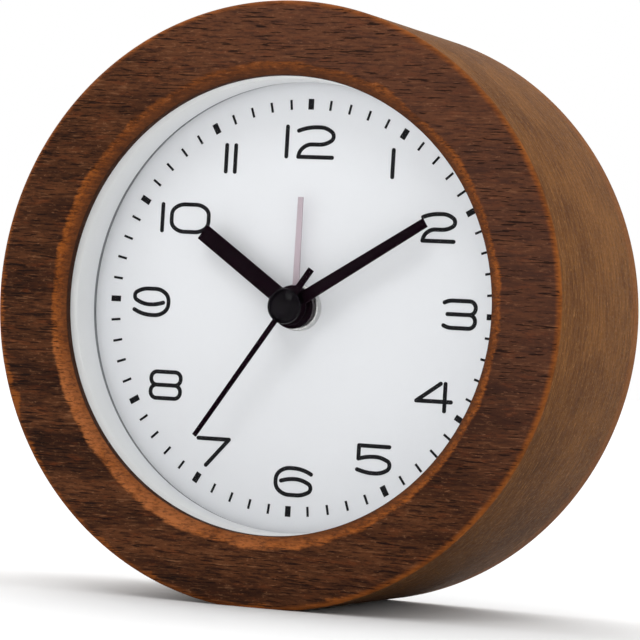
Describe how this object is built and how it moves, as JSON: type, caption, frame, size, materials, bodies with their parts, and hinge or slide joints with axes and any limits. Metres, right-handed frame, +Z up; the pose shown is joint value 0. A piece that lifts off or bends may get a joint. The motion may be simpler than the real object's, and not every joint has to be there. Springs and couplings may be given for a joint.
{
  "type": "desk alarm clock",
  "caption": "Round turned-wood desk alarm clock with a white analogue dial, baton hands, alarm hand, quartz movement, rear setting knobs, alarm switch and battery door.",
  "frame": {"origin": "middle of the footprint on the surface that the clock stands on", "axes": "+Z up, the dial faces -Y, +X to the right of someone who reads the dial"},
  "size_m": [0.105, 0.045, 0.1045],
  "materials": {
    "walnut": "satin",
    "clear_lens": "clear",
    "white_ring": "gloss",
    "dial_white": "satin",
    "print_black": "matte",
    "hand_black": "gloss",
    "hand_pale": "satin",
    "cap_black": "gloss",
    "nickel": "polished",
    "washer_rubber": "matte",
    "shell_black": "matte",
    "gear_white": "satin",
    "arbor_steel": "satin",
    "magnet": "matte",
    "stator_iron": "satin",
    "bobbin_white": "satin",
    "copper": "satin",
    "board_green": "satin",
    "chip_black": "gloss",
    "cover_black": "textured",
    "cell_wrap": "gloss",
    "contact_steel": "satin",
    "screw_steel": "satin"
  },
  "bodies": {
    "clock_body": {"wood_case": "walnut", "lens": "clear_lens", "dial_ring": "white_ring", "dial_plate": "dial_white", "minute_track": "print_black", "dial_numerals": "print_black", "movement_front_plate": "shell_black", "movement_rear_shell": "shell_black", "train_bridge": "bobbin_white", "dial_washer": "washer_rubber", "dial_nut": "nickel", "movement_screws": "screw_steel", "stator": "stator_iron", "coil_core": "stator_iron", "coil_bobbin": "bobbin_white", "coil_winding": "copper", "circuit_board": "board_green", "quartz_crystal": "contact_steel", "control_chip": "chip_black", "back_cover": "cover_black", "cover_screws": "screw_steel", "buzzer": "chip_black", "battery": "cell_wrap", "battery_contact_plus": "contact_steel", "battery_contact_minus": "contact_steel"},
    "seconds": {"second_hand": "hand_black", "second_hand_cap": "cap_black", "seconds_wheel": "arbor_steel"},
    "fifth": {"fifth_wheel": "gear_white"},
    "rotor_magnet": {"rotor": "magnet"},
    "third": {"third_wheel": "gear_white"},
    "centre": {"centre_wheel": "gear_white"},
    "minutes": {"minute_hand": "hand_black", "minute_cannon": "arbor_steel"},
    "hours": {"hour_hand": "hand_black", "hour_wheel": "gear_white"},
    "motion_work": {"minute_wheel": "gear_white"},
    "time_setter": {"time_set_stem": "gear_white", "time_set_knob": "cover_black"},
    "alarm": {"alarm_hand": "hand_pale", "alarm_wheel": "gear_white"},
    "idler": {"alarm_idler": "gear_white"},
    "alarm_setter": {"alarm_set_stem": "gear_white", "alarm_set_knob": "cover_black"},
    "switch": {"alarm_switch": "cover_black"},
    "door": {"battery_door": "cover_black"}
  },
  "joints": [
    {"name": "second_hand_turn", "type": "hinge", "parent": "clock_body", "child": "seconds", "pos_m": [0, 0, 0.052], "axis": [0, 1, 0], "continuous": true},
    {"name": "fifth_wheel_turn", "type": "hinge", "parent": "clock_body", "child": "fifth", "pos_m": [-0.00287, 0, 0.05989], "axis": [0, 1, 0], "continuous": true},
    {"name": "rotor_turn", "type": "hinge", "parent": "clock_body", "child": "rotor_magnet", "pos_m": [-0.00637, 0, 0.06596], "axis": [0, 1, 0], "continuous": true},
    {"name": "third_wheel_turn", "type": "hinge", "parent": "clock_body", "child": "third", "pos_m": [0.0102, 0, 0.052], "axis": [0, 1, 0], "continuous": true},
    {"name": "centre_wheel_turn", "type": "hinge", "parent": "clock_body", "child": "centre", "pos_m": [0, 0, 0.052], "axis": [0, 1, 0], "continuous": true},
    {"name": "minute_hand_turn", "type": "hinge", "parent": "clock_body", "child": "minutes", "pos_m": [0, 0, 0.052], "axis": [0, 1, 0], "continuous": true},
    {"name": "hour_hand_turn", "type": "hinge", "parent": "clock_body", "child": "hours", "pos_m": [0, 0, 0.052], "axis": [0, 1, 0], "continuous": true},
    {"name": "minute_wheel_turn", "type": "hinge", "parent": "clock_body", "child": "motion_work", "pos_m": [-0.00779, 0, 0.0565], "axis": [0, 1, 0], "continuous": true},
    {"name": "time_knob_turn", "type": "hinge", "parent": "clock_body", "child": "time_setter", "pos_m": [-0.01559, 0, 0.061], "axis": [0, 1, 0], "continuous": true},
    {"name": "alarm_hand_turn", "type": "hinge", "parent": "clock_body", "child": "alarm", "pos_m": [0, 0, 0.052], "axis": [0, 1, 0], "continuous": true},
    {"name": "alarm_idler_turn", "type": "hinge", "parent": "clock_body", "child": "idler", "pos_m": [0.00935, 0, 0.0574], "axis": [0, 1, 0], "continuous": true},
    {"name": "alarm_knob_turn", "type": "hinge", "parent": "clock_body", "child": "alarm_setter", "pos_m": [0.01559, 0, 0.061], "axis": [0, 1, 0], "continuous": true},
    {"name": "alarm_switch_slide", "type": "slide", "parent": "clock_body", "child": "switch", "axis": [1, 0, 0], "range_m": [0, 0.003]},
    {"name": "battery_door_hinge", "type": "hinge", "parent": "clock_body", "child": "door", "pos_m": [0, 0.0172, 0.02514], "axis": [-1, 0, 0], "range_deg": [0, 100]}
  ],
  "couplings": [
    {"joint": "fifth_wheel_turn", "follows": "second_hand_turn", "ratio": -5},
    {"joint": "rotor_turn", "follows": "second_hand_turn", "ratio": 30},
    {"joint": "third_wheel_turn", "follows": "second_hand_turn", "ratio": -0.13333},
    {"joint": "centre_wheel_turn", "follows": "second_hand_turn", "ratio": 0.016667},
    {"joint": "minute_wheel_turn", "follows": "minute_hand_turn", "ratio": -0.33333},
    {"joint": "hour_hand_turn", "follows": "minute_hand_turn", "ratio": 0.083333},
    {"joint": "time_knob_turn", "follows": "minute_hand_turn", "ratio": 1},
    {"joint": "alarm_idler_turn", "follows": "alarm_hand_turn", "ratio": -2},
    {"joint": "alarm_knob_turn", "follows": "alarm_hand_turn", "ratio": 2}
  ]
}
